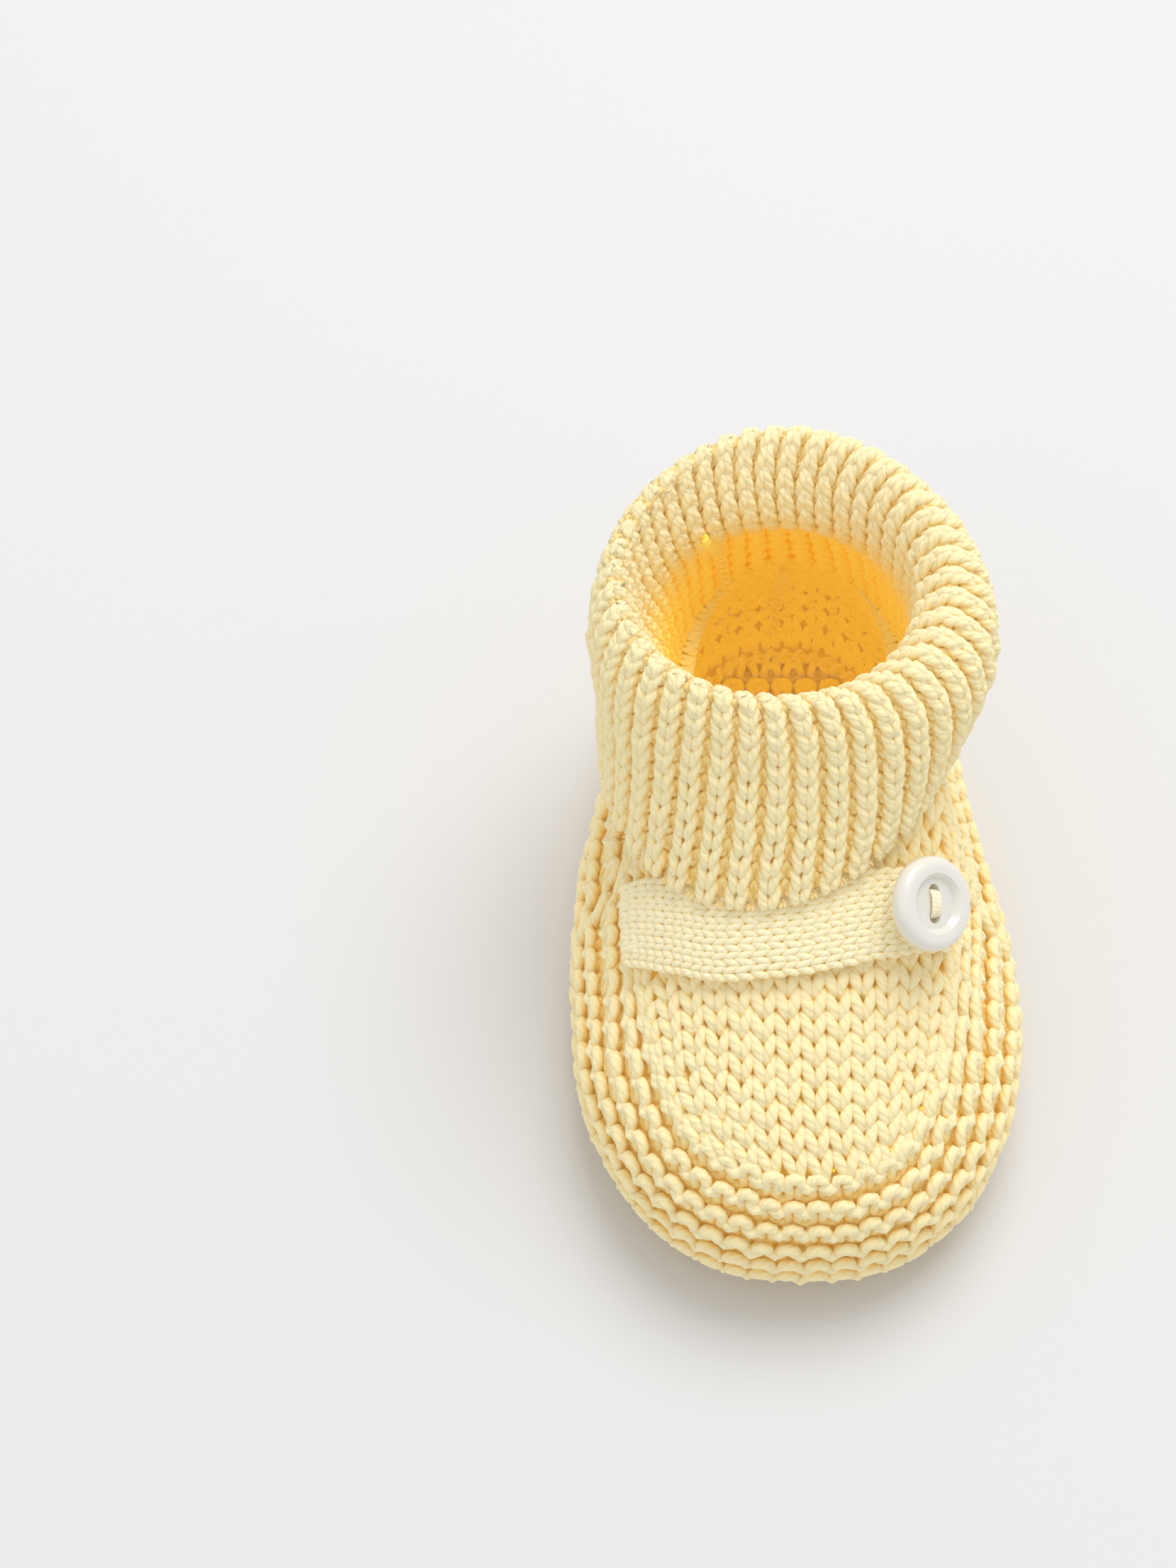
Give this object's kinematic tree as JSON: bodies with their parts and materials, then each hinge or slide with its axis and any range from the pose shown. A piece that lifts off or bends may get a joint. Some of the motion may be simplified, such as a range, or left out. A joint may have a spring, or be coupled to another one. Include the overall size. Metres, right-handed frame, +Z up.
{
  "type": "baby bootie",
  "caption": "Soft knitted baby bootie with a garter sole and wall, a plain top panel, a turned-down rib cuff, and a strap closed with a sewn-on two-hole button.",
  "frame": {"origin": "middle of the box's bottom, on the surface the sole rests on", "axes": "+Z up, -Y towards the toe, +X towards the button side, so +Y runs along the foot to the heel"},
  "size_m": [0.057, 0.1002, 0.0626],
  "materials": {
    "main_yarn": "matte plied cotton yarn, hand-knit gauge",
    "seam_yarn": "matte sewing yarn",
    "strap_yarn": "matte fine-gauge yarn",
    "button_plastic": "pearly polished plastic",
    "button_thread": "cream sewing thread"
  },
  "bodies": {
    "root": {"sole_panel": "main_yarn", "sole_seam": "seam_yarn", "side_wall": "main_yarn", "heel_seam": "seam_yarn", "vamp": "main_yarn", "vamp_seam": "seam_yarn", "leg_tube": "main_yarn", "leg_seam": "seam_yarn", "cuff": "main_yarn", "strap": "strap_yarn", "strap_base_stitches": "seam_yarn", "button_anchor_stitches": "button_thread"},
    "button_stalk": {"button_shank": "button_thread"},
    "button_disc": {"button": "button_plastic", "button_thread": "button_thread"}
  },
  "joints": [
    {"name": "stalk_twist", "type": "hinge", "parent": "root", "child": "button_stalk", "pos_m": [0.0148, -0.0155, 0.0407], "axis": [0.6019, -0.3611, 0.7122], "range_deg": [-30, 30], "stiffness_Nm_per_rad": 0.00005},
    {"name": "button_rock", "type": "hinge", "parent": "button_stalk", "child": "button_disc", "pos_m": [0.01372, -0.01485, 0.03942], "axis": [-0.0282, 0.8817, 0.4709], "range_deg": [-6, 6], "stiffness_Nm_per_rad": 0.00005}
  ]
}
